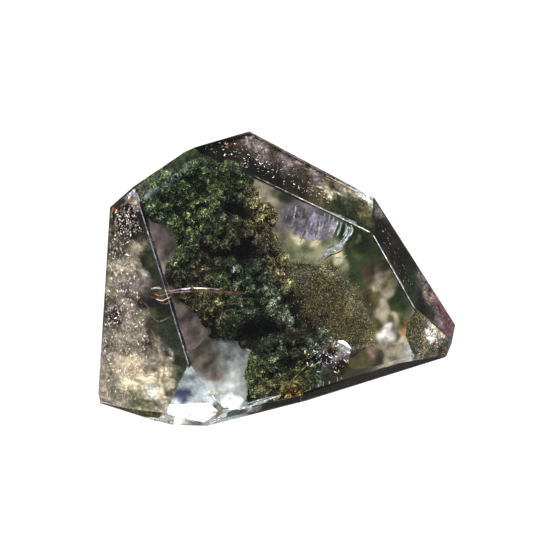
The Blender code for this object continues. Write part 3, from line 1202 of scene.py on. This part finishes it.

# %% [markdown]
# ## Hazes behind the front face
#
# Clear quartz shows what lies behind it out of focus: grey and milky bands, the soft window on the
# right, a white flash at the foot. They are films with soft borders, at different depths, painted
# partly in chlorite colours and partly as painted views of the stone's surroundings; the flash at the
# foot is a painted highlight, and a glow above nought makes a film glow as painted light.

# %% Hazes behind the front face
# depth in mm, pixels of fading, glow, outline, zones
HAZES = {
    "crest_haze": (0.8, 6, 0, [(137, 197), (151, 185), (170, 171), (190, 156), (203, 151), (210, 160),
        (190, 176), (170, 196), (152, 212), (143, 212)], {
        "veil": [(146, 192, 8), (160, 184, 9), (172, 174, 8), (193, 157, 8)],
        "clear": [(160, 200, 7), (178, 184, 7), (200, 164, 5)], "milky": [(194, 152, 4)],
    }),
    "foot_flash": (1.0, 11, 0.9, [(218, 392), (226, 388), (238, 388), (247, 395), (249, 404), (240, 410),
        (228, 413), (217, 404)], {
        "white": [(232, 402, 5)], "sky": [(222, 396, 4), (244, 400, 4), (238, 393, 4)],
    }),
    "milky_band": (6.5, 0.7, 0.08, [(210, 328), (222, 336), (238, 341), (249, 352), (247, 400), (224, 409),
        (196, 376), (190, 364), (186, 345)], {
        "sky": [(222, 346, 5), (241, 354, 5), (228, 396, 7)],
        "milky": [(226, 355, 7), (238, 370, 8), (236, 384, 7), (220, 386, 6), (208, 386, 5)],
        "taupe": [(201, 352, 8), (198, 362, 5), (213, 366, 4), (204, 342, 6), (214, 343, 4)],
        "brown": [(210, 361, 4)], "purple grey": [(194, 363, 5), (213, 377, 6)],
    }),
    "grey_haze": (5.0, 3, 0.12, [(136, 202), (160, 214), (174, 230), (184, 262), (208, 280), (216, 330),
        (196, 350), (185, 354), (157, 276)], {
        "purple grey": [(155, 222, 10), (164, 240, 12), (174, 262, 10), (192, 318, 10), (202, 330, 8)],
        "brown black": [(192, 281, 8)], "brown": [(180, 274, 7), (200, 304, 8), (178, 297, 5)],
        "taupe": [(171, 283, 6), (182, 302, 7)],
    }),
    "soft_window": (7.8, 3, 0, [(246, 174), (300, 198), (372, 234), (392, 268), (414, 306), (410, 322),
        (409, 342), (413, 351), (368, 352), (355, 300), (320, 272), (285, 262), (268, 236), (250, 205)], {
        "beige": [(258, 190, 10), (270, 206, 9), (380, 282, 5), (388, 290, 5), (384, 306, 6), (379, 317, 5),
            (400, 345, 6), (396, 318, 5)],
        "deep green": [(281, 198, 8), (352, 232, 7), (366, 249, 9), (395, 296, 7), (384, 264, 7)],
        "purple grey": [(266, 218, 6)], "grey lilac": [(292, 214, 8), (306, 222, 10), (318, 214, 7)],
        "cream": [(300, 238, 5), (317, 239, 5), (337, 257, 5), (376, 287, 3)],
        "pale green": [(288, 246, 8), (306, 249, 9), (326, 246, 7), (342, 263, 5)],
        "olive": [(330, 268, 7), (358, 257, 5), (388, 284, 4), (378, 292, 5), (370, 303, 7), (375, 322, 5),
            (388, 322, 5)],
        "green": [(355, 262, 10), (398, 308, 5)], "brown": [(372, 273, 6), (394, 338, 3)],
        "white": [(385, 329, 4)], "grass": [(404, 318, 6)], "bright olive": [(372, 331, 6)],
        "ochre": [(402, 336, 2)], "rust": [(408, 323, 2)],
    }),
    "foot_haze": (4.0, 4, 0, [(368, 345), (412, 340), (414, 358), (372, 369), (350, 372), (345, 360)], {
        "beige": [(390, 354, 12)], "milky": [(407, 349, 4)], "rose": [(370, 353, 2)],
        "olive": [(358, 364, 8)], "brown": [(380, 362, 8)],
    }),
}
for name, (depth, feather, glow, outline, zones) in HAZES.items():
    film(name, "front", depth, outline, zones, (2200, 0.95, 1.15), "quartz", step=1.5,
         feather=feather, cover=SOFT, glow=glow)

# %% [markdown]
# ## Cracks
#
# A level crack runs in from the left edge, white above and rusty below. On the right a torn one
# shows as a bluish ribbon, beside a patch of fine growth lines. A bright one flashes near the foot.
# The wide ones are films again, with stretched wisps.

# %% The cracks
# depth in mm, wisps, outline, zones
CRACKS = {
    "growth_lines": (7.2, (1500, 0.5, (1.8, 1.8, 0.15), (0, 0.3, 0)), [(284, 203), (300, 205), (340, 221),
        (334, 240), (318, 243), (292, 240), (282, 222)], {
        "grey lilac": [(294, 219, 6), (306, 212, 7), (325, 226, 6)],
        "lavender": [(312, 226, 8), (336, 226, 5)], "clear": [(290, 232, 5)],
    }),
    "ribbon_plate": (6.05, (3200, 0.45, (1.4, 1.4, 0.5), (0, 0.5, 0)), [(347, 223), (353, 228), (351, 237),
        (344, 244), (342, 251), (334, 253), (325, 259), (316, 267), (312, 262), (322, 254), (329, 247),
        (337, 243), (343, 236), (345, 229)], {
        "sky": [(349, 229, 4)], "ice": [(345, 240, 4), (337, 248, 4)], "blue grey": [(328, 253, 4)],
        "lavender": [(318, 262, 4)], "clear": [(342, 233, 3)],
    }),
    "bright_crack": (1.6, (2600, 0.6), [(312, 345), (330, 340), (346, 339), (352, 350), (349, 364),
        (336, 372), (320, 368)], {
        # the sky zone is a painted highlight
        "sky": [(346, 344, 3)], "ochre": [(330, 345, 3)], "purple black": [(322, 360, 6)],
        "brown black": [(342, 366, 6)], "black": [(332, 354, 5)], "russet": [(316, 350, 3), (318, 349, 2)],
        "purple grey": [(340, 357, 4)], "taupe": [(324, 352, 3)], "teal": [(308, 356, 4)],
    }),
}
for name, (depth, cover, outline, zones) in CRACKS.items():
    film(name, "front", depth, outline, zones, (2600, 0.6, 1.5), "quartz", wave=0.4, step=1.0,
         feather=3, cover=cover, roughness=0.4)

# %% [markdown]
# ## Threads
#
# A crack seen from its edge is a bright or dark thread. Each is a narrow ribbon along a smooth curve
# through a few points of the photo, thinner at its ends and a little uneven, with the same wall and
# wisps as the films.

# %% How threads are made
def smooth_path(points, parts=6):
    """A Catmull-Rom curve through hand-placed points."""
    ends = [points[0]] + points + [points[-1]]
    path = []
    for a, b, c, d in zip(ends, ends[1:], ends[2:], ends[3:]):
        for part in range(parts):
            t = part / parts
            path.append(tuple(
                0.5 * (2 * q + (r - p) * t + (2 * p - 5 * q + 4 * r - w) * t * t
                       # A Catmull-Rom curve through given points.
                       + (3 * q - p - 3 * r + w) * t ** 3)
                for p, q, r, w in zip(a, b, c, d)))
    return path + [points[-1]]


def threads(name, face, lines, softness, slot="quartz", glow=0.0):
    """Thin ribbons behind a face. Each line is (points, width in pixels, depth in mm, colour)."""
    corners = []
    quads = []
    colours = []
    for points, width, depth, colour in lines:
        path = smooth_path(points)
        for index, (x, y) in enumerate(path):
            (x0, y0), (x1, y1) = path[max(index - 1, 0)], path[min(index + 1, len(path) - 1)]
            along = Vector((x1 - x0, y1 - y0)).normalized()
            share = index / (len(path) - 1)
            half = width * 0.5 * (0.25 + 0.75 * (1 - abs(2 * share - 1) ** 3))
            half *= 1 + 0.5 * noise.noise((x * 0.35, y * 0.35, width))
            for side in (-half, half):
                place = held_inside(face, x - along.y * side, y + along.x * side, depth, THREAD_ROOM)
                corners.append(place or tucked(seen_through(face, x, y, SHALLOWEST), LEAST_ROOM))
                colours.append(PALETTE[colour])
            if index:
                last = len(corners) - 1
                quads.append((last - 3, last - 2, last, last - 1))
    made = loose_mesh(name, corners, quads)
    lay_paint(made, colours)
    film_wall(made)
    dress(made, slot, (4500, 0.6, 1.6), cover=(2600, softness), glow=glow, roughness=0.6)


# %% The level crack
LEVEL_DEPTH = 1.3
threads("level_crack", "front", [
    ([(166, 291.5), (178, 289.6), (192, 288.0), (208, 288.2), (220, 289.6)], 1.3, LEVEL_DEPTH, "lavender"),
    ([(182, 289.4), (195, 288.2), (210, 288.8)], 1.3, LEVEL_DEPTH - 0.05, "white"),
    ([(170, 292.6), (184, 291.6), (196, 291.2)], 1.2, LEVEL_DEPTH, "rose"),
    ([(186, 291.6), (206, 291.0), (222, 292.0), (246, 293.6)], 1.5, LEVEL_DEPTH, "russet"),
    ([(204, 293.2), (222, 293.8), (242, 295.0)], 1.0, LEVEL_DEPTH, "brown"),
    ([(212, 290.0), (230, 291.2), (256, 293.2)], 0.8, LEVEL_DEPTH, "brown"),
], 0.3)
threads("crack_end", "left", [
    ([(151, 289), (156, 287.6), (161, 288.6)], 1.2, 0.6, "white"),
    ([(153, 293), (160, 295.5), (168, 293.5)], 0.8, 0.6, "ochre"),
    ([(156, 299), (162, 300.5), (169, 297.5)], 0.9, 0.6, "cream"),
    ([(160, 303), (166, 303.6), (171, 300.5)], 0.8, 0.6, "russet"),
    ([(163, 292), (168, 291), (173, 292)], 1.0, 0.6, "ochre"),
    ([(150, 296), (155, 298.5), (161, 298)], 0.7, 0.6, "russet"),
    ([(152, 315), (155, 320), (161, 321), (172, 316)], 0.9, 0.9, "bright olive"),
    ([(141, 300), (147, 306), (151, 314)], 0.8, 0.9, "dusk green"),
    ([(148, 325), (153, 333), (156, 341)], 0.8, 0.9, "taupe"),
    ([(158, 345), (160, 362), (157, 384)], 3.0, 0.9, "beige"),
    ([(163, 346), (165, 362), (162, 382)], 1.4, 0.9, "taupe"),
], 0.6)

# %% Growth lines and the torn crack
threads("growth_streaks", "front", [
    ([(x, top), (x - 2, (top + low) / 2), (x - 5, low)], width, 6.9, colour)
    for x, top, low, width, colour in (
        (290, 204, 220, 1.2, "grey lilac"), (296, 205, 228, 1.8, "lavender"),
        (303, 207, 226, 1.4, "grey lilac"), (309, 208, 236, 2.2, "grey lilac"),
        (315, 209, 228, 2.2, "lavender"), (320, 211, 238, 1.6, "grey lilac"),
        (325, 213, 234, 1.6, "lavender"), (330, 215, 236, 1.8, "blue grey"),
        (334, 217, 232, 1.8, "sky"), (338, 220, 234, 1.4, "sky"), (342, 222, 234, 1.6, "sky"),
        (305, 228, 243, 0.8, "beige"), (321, 230, 244, 0.8, "beige"))], 1.0)
threads("torn_ribbon", "front", [
    ([(351, 225), (352.5, 230), (350, 236)], 1.6, 6.0, "ice"),
    ([(348, 238), (343, 243), (340, 249)], 2.2, 6.0, "ice"),
    ([(336, 251), (331, 249), (325, 252)], 1.6, 6.0, "sky"),
    ([(329, 253), (322, 257), (315, 263)], 1.4, 6.0, "lavender"),
    ([(346, 223), (346, 230), (343, 236)], 1.2, 6.0, "sky"),
    ([(341, 222), (340, 229), (337, 236)], 1.3, 6.0, "sky"),
    ([(334, 257), (341, 258), (347, 255)], 0.9, 6.1, "milky"),
    ([(337, 240), (332, 244), (326, 247)], 0.9, 6.1, "blue grey"),
], 0.8)
threads("torn_shadow", "front", [
    ([(353.5, 227), (354.5, 232), (350.5, 240), (344, 247)], 1.0, 5.9, "black"),
    ([(348, 226), (348.5, 232), (344.5, 239), (338, 246)], 0.9, 5.9, "black"),
    ([(343, 250), (336, 253.5), (329, 256), (320, 264)], 1.0, 5.9, "black"),
    ([(343.5, 224), (342.5, 231), (339, 239)], 0.7, 5.9, "black"),
], 0.4)

# %% Threads in the moss
# the ice, pale teal and sky threads are painted highlights, and the black one along the foot is painted shade
threads("moss_threads", "front", [
    ([(204, 303), (222, 305), (240, 303), (256, 305)], 0.7, 1.6, "olive"),
    ([(218, 310), (240, 311), (262, 308)], 0.7, 1.7, "teal"),
    ([(230, 298), (252, 299), (270, 302)], 0.6, 1.8, "teal"),
    ([(262, 300), (274, 306), (290, 304)], 0.8, 1.8, "teal"),
    ([(231, 264), (234, 268), (233, 273)], 1.6, 2.0, "ice"),
    ([(263, 284), (268, 290), (266, 297)], 1.1, 2.0, "pale teal"),
    ([(308, 364), (300, 372), (290, 382), (279, 390)], 1.0, 1.2, "bright olive"),
    ([(231, 412.5), (246, 407), (262, 401.5), (281, 395)], 1.8, 0.5, "ice"),
    ([(240, 406), (256, 401), (274, 396)], 0.8, 0.6, "sky"),
    ([(250, 409), (266, 403.5), (284, 397)], 1.4, 0.5, "black"),
    ([(165, 170), (170, 176), (177, 180)], 1.0, 0.7, "veil"),
    ([(170, 168), (176, 174), (181, 183)], 1.2, 0.7, "veil"),
    ([(280, 255), (290, 262), (296, 272)], 0.8, 2.4, "dusk green"),
], 0.9, slot="chlorite")

# %% [markdown]
# ## Sparkles
#
# Round the bright crack the quartz is shattered into short cracks at every angle, which catch the
# lamp in many colours. They are far too many to draw, so a fixed seed lays them, and only the two
# widest flashes and the ticks under them are listed one by one.

# %% Sparkles round the bright crack
SPARKLE_OUTLINE = [(300, 352), (312, 342), (334, 338), (352, 347), (352, 362), (338, 373), (312, 372)]
SPARKLE_COLOURS = ("ice", "sky", "white", "lavender", "blue grey", "cream")
# ticks at the foot: x, y, length and width in pixels
TICKS = [
    (318, 384, 3, 0.7), (323, 381, 6, 0.5), (329, 381, 3, 0.9), (337, 377, 5, 0.5), (341, 377, 2, 0.8)]


def sparkle_lines(count):
    """Short straight cracks at every angle, each with its own width, depth and colour."""
    rng = random.Random(31)
    lines = []
    for x, y in random_in(SPARKLE_OUTLINE, count, rng):
        turn = rng.uniform(0, 3.14)
        reach = rng.uniform(0.8, 2.6)
        over, down = reach * cos(turn), reach * sin(turn)
        points = [(x - over, y - down), (x, y + 0.2), (x + over, y + down)]
        lines.append((points, rng.uniform(0.4, 1.0), rng.uniform(1.1, 1.4), rng.choice(SPARKLE_COLOURS)))
    return lines


ticks = [([(x, y), (x + 0.6, y + reach / 2), (x, y + reach)], width, 0.6, "blue grey")
         for x, y, reach, width in TICKS]
flashes = [([(338, 341), (344, 343), (349, 347)], 3.2, 1.2, "white"),
           ([(342, 340.5), (347, 344), (351, 349)], 1.6, 1.15, "white")]
# the sparkles' colours and the two flashes are painted reflections, and they glow as painted light
threads("sparkles", "front", sparkle_lines(44) + ticks + flashes, 0.9, glow=0.6)

# %% Rims and fringes
threads("milky_rim", "front", [
    ([(212, 331), (216, 337), (222, 341), (229, 341.4), (235, 342), (241, 346), (249, 351)], 1.6, 6.3, "ice"),
    ([(249, 351), (249.5, 366), (248, 384), (246.5, 398)], 1.0, 6.3, "sky"),
    ([(206, 330), (197, 337), (190, 347)], 0.8, 6.3, "veil"),
    ([(208, 393), (213, 392), (218, 394)], 1.6, 0.8, "cream"),
    ([(209, 394.6), (213, 395), (217, 396)], 0.8, 0.8, "ochre"),
], 0.4)
threads("fringes", "shoulder", [
    ([(322, 176), (344, 187), (364, 197)], 0.8, 0.5, "ochre"),
    ([(326, 175.5), (346, 185.6), (366, 196)], 0.9, 0.45, "sky"),
    ([(316, 186), (330, 190), (347, 197)], 2.0, 0.6, "beige"),
    ([(302, 167), (318, 174), (330, 181)], 0.7, 0.5, "taupe"),
], 0.8)

# %% [markdown]
# ## Glints
#
# The faces that were left as grown are full of tiny steps, and each one that happens to face halfway
# between the lamp and the eye flashes. The same goes for the broken bits round the bright crack.
# They are small mirror flakes close under the surface, turned about that halfway direction.

# %% Directions of the lamps
# azimuth and elevation, in degrees
KEY = (105, 64)
FRONT = (172, 50)
SIDE = (228, 32)
BACK = (12, 26)


def away_from_stone(azimuth, elevation):
    """A direction from the stone. Azimuth 0 is behind it, and +X is at 90."""
    return outward(180 - azimuth, elevation)


# %% The mirror finish of the glints
def glint_material():
    """A warm mirror with a speckled roughness."""
    made, tree, shader, _ = new_material("glint")
    shader.inputs["Base Color"].default_value = (1.0, 0.88, 0.84, 1)
    shader.inputs["Metallic"].default_value = 1.0
    speckle = calculate(tree, "MULTIPLY", mapped_noise(tree, 9000, 3), 0.6)
    tree.links.new(speckle, shader.inputs["Roughness"])
    return made


GLINT = glint_material()

# %% The glints
# face, lamp, count, depth and sizes in mm, shape, how far they are turned, outline
GLINTS = {
    "left_glints": ("left", SIDE, 900, 0.30, (0.06, 0.15), (0.7, 2.0, 0.12), 0.8,
                    [(104, 235), (128, 232), (140, 290), (150, 345), (135, 400), (101, 398)]),
    "dark_glints": ("left", SIDE, 240, 0.30, (0.05, 0.14), (0.7, 1.8, 0.12), 0.7,
                    [(112, 212), (134, 204), (142, 232), (120, 240)]),
    "shoulder_glints": ("shoulder", KEY, 210, 0.3, (0.05, 0.13), (2.6, 0.6, 0.12), 0.8,
                        [(200, 147), (246, 136), (335, 195), (330, 205), (245, 168)]),
    "right_glints": ("right", KEY, 50, 0.35, (0.03, 0.10), (0.7, 2.4, 0.12), 0.9,
                     [(377, 215), (398, 245), (415, 290), (405, 285), (380, 238)]),
    "tip_glints": ("tip", KEY, 60, 0.4, (0.04, 0.10), (1.0, 1.3, 0.12), 0.7,
                   [(418, 320), (446, 343), (440, 354), (414, 352)]),
    "crack_glints": ("front", FRONT, 90, 1.0, (0.05, 0.14), (1.0, 1.6, 0.12), 1.2,
                     [(312, 352), (334, 340), (350, 348), (348, 366), (326, 374)]),
}
GLINT_ROOM = 0.18 * MM

for name, (face, lamp, count, depth, sizes, shape, spread, outline) in GLINTS.items():
    rng = random.Random(len(name) * 7 + count)
    places = [held_inside(face, x, y, depth * rng.uniform(0.6, 1.4), GLINT_ROOM)
              for x, y in random_in(outline, count, rng)]
    _, inner = bent_ray(face, *outline[0])
    halfway = (away_from_stone(*lamp) - inner).normalized().to_track_quat("Z", "Y").to_euler()
    turns = [tuple(angle + way * spread for angle in halfway) for way in (-1, 1)]
    flakes = scatter_at([place for place in places if place], name, tuple(size * MM for size in sizes),
                        31, "flake", shape, turns)
    flakes.data.materials.append(GLINT)
    finish_piece(flakes, "quartz")

# %% [markdown]
# ## Edge highlights
#
# The polished edges show as thin pale lines where they catch the light. Each is a rod just under the
# edge, painted as a highlight and broken up by the same ragged cover as the films.

# %% The edge highlights
HIGHLIT_BESIDE_FRONT = ["left", "shoulder", "right", "corner"]
ROD_RADIUS = 0.05 * MM
ROD_DEPTH = 0.06 * MM
ROD_SHORTER = 0.8 * MM


def shared_edge(first, second):
    """The two ends of the edge between two faces, and the way out from it."""
    (n1, d1), (n2, d2) = faces[first], faces[second]
    along = n1.cross(n2).normalized()
    dot = n1.dot(n2)
    start = (n1 * (d1 - d2 * dot) + n2 * (d2 - d1 * dot)) / (1 - dot * dot)
    low, high = -1.0, 1.0
    for normal, distance in planes:
        slope = normal.dot(along)
        room = distance - normal.dot(start)
        if abs(slope) > 1e-6 and max(normal.dot(n1), normal.dot(n2)) < SAME_PLANE:
            if slope > 0:
                high = min(high, room / slope)
            else:
                low = max(low, room / slope)
    return start + along * low, start + along * high, (n1 + n2).normalized()


rods = []
for beside in HIGHLIT_BESIDE_FRONT:
    start, end, way_out = shared_edge("front", beside)
    run = end - start
    rods.append(added(
        "worn_" + beside, bpy.ops.mesh.primitive_cylinder_add, vertices=6, radius=ROD_RADIUS,
        depth=run.length - ROD_SHORTER, location=(start + end) / 2 - way_out * ROD_DEPTH,
        rotation=run.to_track_quat("Z", "Y").to_euler()))
for rod in rods:
    rod.select_set(True)
bpy.ops.object.join()
edges = named("worn_edges")
settle(edges)
EDGE_ZONES = {
    "lavender": [(150, 235, 25), (165, 285, 25), (182, 340, 25), (252, 181, 6)],
    "veil": [(202, 388, 15), (285, 196, 15), (330, 216, 15)], "clear": [(225, 168, 20)],
    "white": [(368, 233, 6)], "ice": [(380, 246, 6), (410, 300, 12)], "milky": [(395, 272, 15)],
}
paint(edges, "front", 0.05, EDGE_ZONES)
edges.visible_shadow = False
dress(edges, "quartz", (3000, 0.6, 1.8), cover=(1500, 0.8))

# %% [markdown]
# ## Iron stains
#
# Iron left orange spots at a few corners of the stone. Each is a cluster of small grains right under
# the surface.

# %% The stains
# face, place in the photo, and radius in mm
STAINS = [
    ("left", 115.5, 210, 0.45), ("left", 134.5, 204, 0.40), ("shoulder", 212.5, 143, 0.40),
    ("shoulder", 228.5, 145, 0.30), ("tip", 445, 352.5, 0.38), ("left", 103, 398, 0.25),
]
GRAINS_IN_A_STAIN = 14
STAIN_SPREAD = 1.6
STAIN_DEPTH = 0.5

spots = []
sizes = []
rng = random.Random(8)
for face, x, y, radius in STAINS:
    for _ in range(GRAINS_IN_A_STAIN):
        place = held_inside(face, x + rng.gauss(0, STAIN_SPREAD), y + rng.gauss(0, STAIN_SPREAD),
                            STAIN_DEPTH, WALL)
        if place:
            spots.append(place)
            sizes.append(radius * rng.uniform(0.25, 0.6) * MM)
stains = scatter_at(spots, "iron_stains", sizes, 41)
paint(stains, "front", 1.0, {"rust": [(250, 250, 300)]})
dress(stains, "quartz", (6000, 0.6, 2.2))

# %% [markdown]
# ## Light and floor
#
# The stone stands on a plain pale floor. Soft boxes above, behind, beside and in front light it, as
# on a photographer's table.

# %% The floor
FLOOR_DROP = 0.02 * MM

floor = added("floor", bpy.ops.mesh.primitive_plane_add, size=4, location=(0, 0, -FLOOR_DROP))


def floor_material():
    """Pale card. The camera sees it lit through from below, as on a light table."""
    made, tree, shader, output = new_material("pale_card")
    shader.inputs["Base Color"].default_value = (0.11, 0.10, 0.095, 1)
    shader.inputs["Roughness"].default_value = 0.9
    glow = node(tree, "ShaderNodeEmission", Color=(1, 1, 1, 1), Strength=0.9)
    both = tree.nodes.new("ShaderNodeAddShader")
    tree.links.new(shader.outputs[0], both.inputs[0])
    tree.links.new(glow.outputs[0], both.inputs[1])
    switched(tree, output, "Is Camera Ray", shader, both)
    return made


floor.data.materials.append(floor_material())
print("the floor lies", FLOOR_DROP / MM, "mm under the stone")

# %% The soft boxes
LIGHT_DISTANCE = 0.6
LIT_PLACE = Vector((0, 0, 12 * MM))


def soft_box(name, direction, width, height, radiance):
    """A soft box that looks at the stone from an azimuth and elevation."""
    away = away_from_stone(*direction)
    box = added(name, bpy.ops.object.light_add, type="AREA", location=LIT_PLACE + away * LIGHT_DISTANCE)
    box.rotation_euler = away.to_track_quat("Z", "Y").to_euler()
    box.data.shape = "RECTANGLE"
    box.data.size = width
    box.data.size_y = height
    box.data.energy = radiance * pi * width * height
    print(name, "gives", round(box.data.energy, 2), "watts")


soft_box("back_box", BACK, 0.30, 0.11, 9.0)
soft_box("key_box", KEY, 0.16, 0.16, 60.0)
soft_box("front_box", FRONT, 0.16, 0.16, 22.0)
soft_box("side_box", SIDE, 0.16, 0.16, 40.0)

world = bpy.data.worlds.new("studio")
bpy.context.scene.world = world
world.use_nodes = True
world.node_tree.nodes["Background"].inputs["Color"].default_value = (0.9, 0.95, 1.0, 1)
world.node_tree.nodes["Background"].inputs["Strength"].default_value = 0.17

# %% [markdown]
# ## Light through a clear stone
#
# A ray crosses many faces and films before it leaves the stone, so it may bounce often. Clamping and
# denoising keep the small glints from turning into speckles.

# %% How the render treats light
scene = bpy.context.scene
scene.view_settings.view_transform = "Standard"
scene.cycles.max_bounces = 24
scene.cycles.transmission_bounces = 24
scene.cycles.glossy_bounces = 12
scene.cycles.diffuse_bounces = 3
scene.cycles.transparent_max_bounces = 32
scene.cycles.caustics_refractive = False
scene.cycles.sample_clamp_indirect = 6
scene.cycles.use_denoising = True
